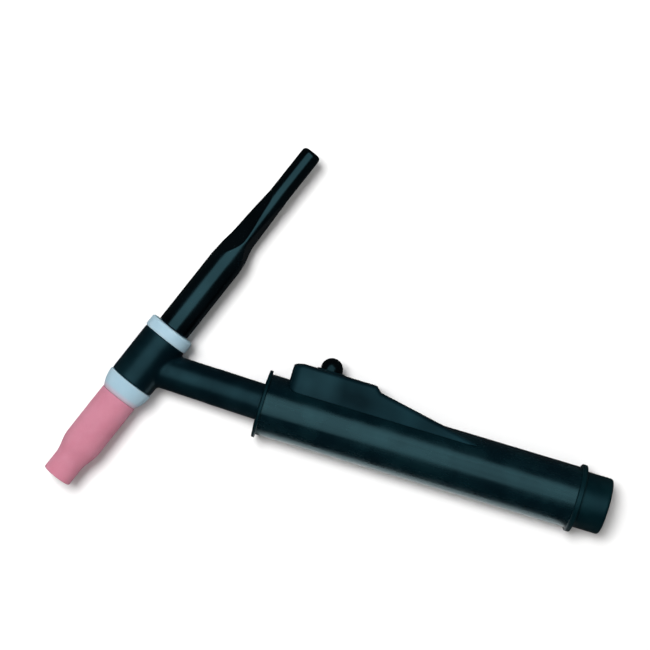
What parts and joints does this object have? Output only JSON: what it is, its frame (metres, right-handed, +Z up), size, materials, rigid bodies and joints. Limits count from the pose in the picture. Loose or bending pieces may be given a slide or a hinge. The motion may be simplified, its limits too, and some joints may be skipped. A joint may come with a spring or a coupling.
{
  "type": "tig torch",
  "caption": "TIG welding torch with a tubular grip, thumb switch, rigid neck, pink ceramic nozzle and long back cap.",
  "frame": {"origin": "on the surface that the torch lies on, at the centre of the box around it", "axes": "+X along the grip towards the cable end, +Y towards the switch and the back cap, +Z up"},
  "size_m": [0.2787, 0.1986, 0.0352],
  "materials": {
    "alumina": "matt unglazed pink alumina",
    "ptfe": "smooth pale insulating resin",
    "head_rubber": "satin moulded black",
    "cap_plastic": "glossy moulded black",
    "grip_plastic": "satin black with a teal cast",
    "collar_rubber": "satin black with a teal cast",
    "button_plastic": "glossy black",
    "copper": "bare copper, lightly tarnished",
    "brass": "bare turned brass",
    "steel": "zinc-plated steel",
    "tungsten": "ground tungsten",
    "seal_rubber": "silicone seal",
    "sleeve_plastic": "shrunk plastic sleeve",
    "switch_nylon": "moulded black",
    "plunger_plastic": "moulded red",
    "lead_insulation": "soft insulation",
    "plug_nylon": "natural nylon"
  },
  "bodies": {
    "torch": {"head_jacket": "head_rubber", "head_core": "brass", "back_gasket": "ptfe", "collet_body": "copper", "neck_tube": "copper", "neck_sleeve": "sleeve_plastic", "cable_stud": "brass", "front_collar": "collar_rubber", "grip_tube": "grip_plastic", "rear_collar": "collar_rubber", "switch_housing": "grip_plastic", "housing_screws": "steel", "button_spring": "steel", "switch_bracket": "steel", "bracket_screw": "steel", "switch_case": "switch_nylon", "case_screws": "steel", "case_nuts": "steel", "lever_pin": "steel", "contact_blade": "copper", "switch_terminals": "brass", "switch_leads": "lead_insulation", "lead_plug": "plug_nylon", "plug_pins": "brass"},
    "front_ring": {"front_gasket": "ptfe"},
    "nozzle": {"nozzle": "alumina"},
    "collet": {"collet": "copper"},
    "back_cap": {"back_cap": "cap_plastic", "cap_o_ring": "seal_rubber"},
    "electrode": {"electrode": "tungsten"},
    "button": {"button": "button_plastic"},
    "lever": {"switch_lever": "steel"},
    "plunger": {"switch_plunger": "plunger_plastic"}
  },
  "joints": [
    {"name": "nozzle_unscrew", "type": "slide", "parent": "torch", "child": "front_ring", "axis": [-0.3697, -0.9291, 0], "range_m": [0, 0.0048]},
    {"name": "nozzle_turn", "type": "hinge", "parent": "front_ring", "child": "nozzle", "pos_m": [-0.12025, -0.0663, 0.0176], "axis": [-0.3697, -0.9291, 0], "range_deg": [0, 1081]},
    {"name": "cap_unscrew", "type": "slide", "parent": "torch", "child": "collet", "axis": [0.3697, 0.9291, 0], "range_m": [0, 0.00375]},
    {"name": "cap_turn", "type": "hinge", "parent": "collet", "child": "back_cap", "pos_m": [-0.08328, 0.02661, 0.0176], "axis": [0.3697, 0.9291, 0], "range_deg": [0, 1081]},
    {"name": "electrode_slide", "type": "slide", "parent": "collet", "child": "electrode", "axis": [-0.3697, -0.9291, 0], "range_m": [0, 0.03]},
    {"name": "button_press", "type": "slide", "parent": "torch", "child": "button", "axis": [0, -1, 0], "range_m": [0, 0.0015], "stiffness_N_per_m": 900, "springref_m": -0.001, "deforming": ["button_spring"]},
    {"name": "lever_turn", "type": "hinge", "parent": "torch", "child": "lever", "pos_m": [-0.00529, -0.0167, 0.0176], "axis": [0, 0, 1], "range_deg": [0, 10.16]},
    {"name": "plunger_press", "type": "slide", "parent": "torch", "child": "plunger", "axis": [0, -1, 0], "range_m": [0, 0.000711]}
  ],
  "couplings": [
    {"joint": "nozzle_turn", "follows": "nozzle_unscrew", "rad_per_m": 3927},
    {"joint": "cap_turn", "follows": "cap_unscrew", "rad_per_m": 5026.5},
    {"joint": "lever_turn", "follows": "button_press", "rad_per_m": 117.65},
    {"joint": "plunger_press", "follows": "button_press", "ratio": 0.47059}
  ]
}
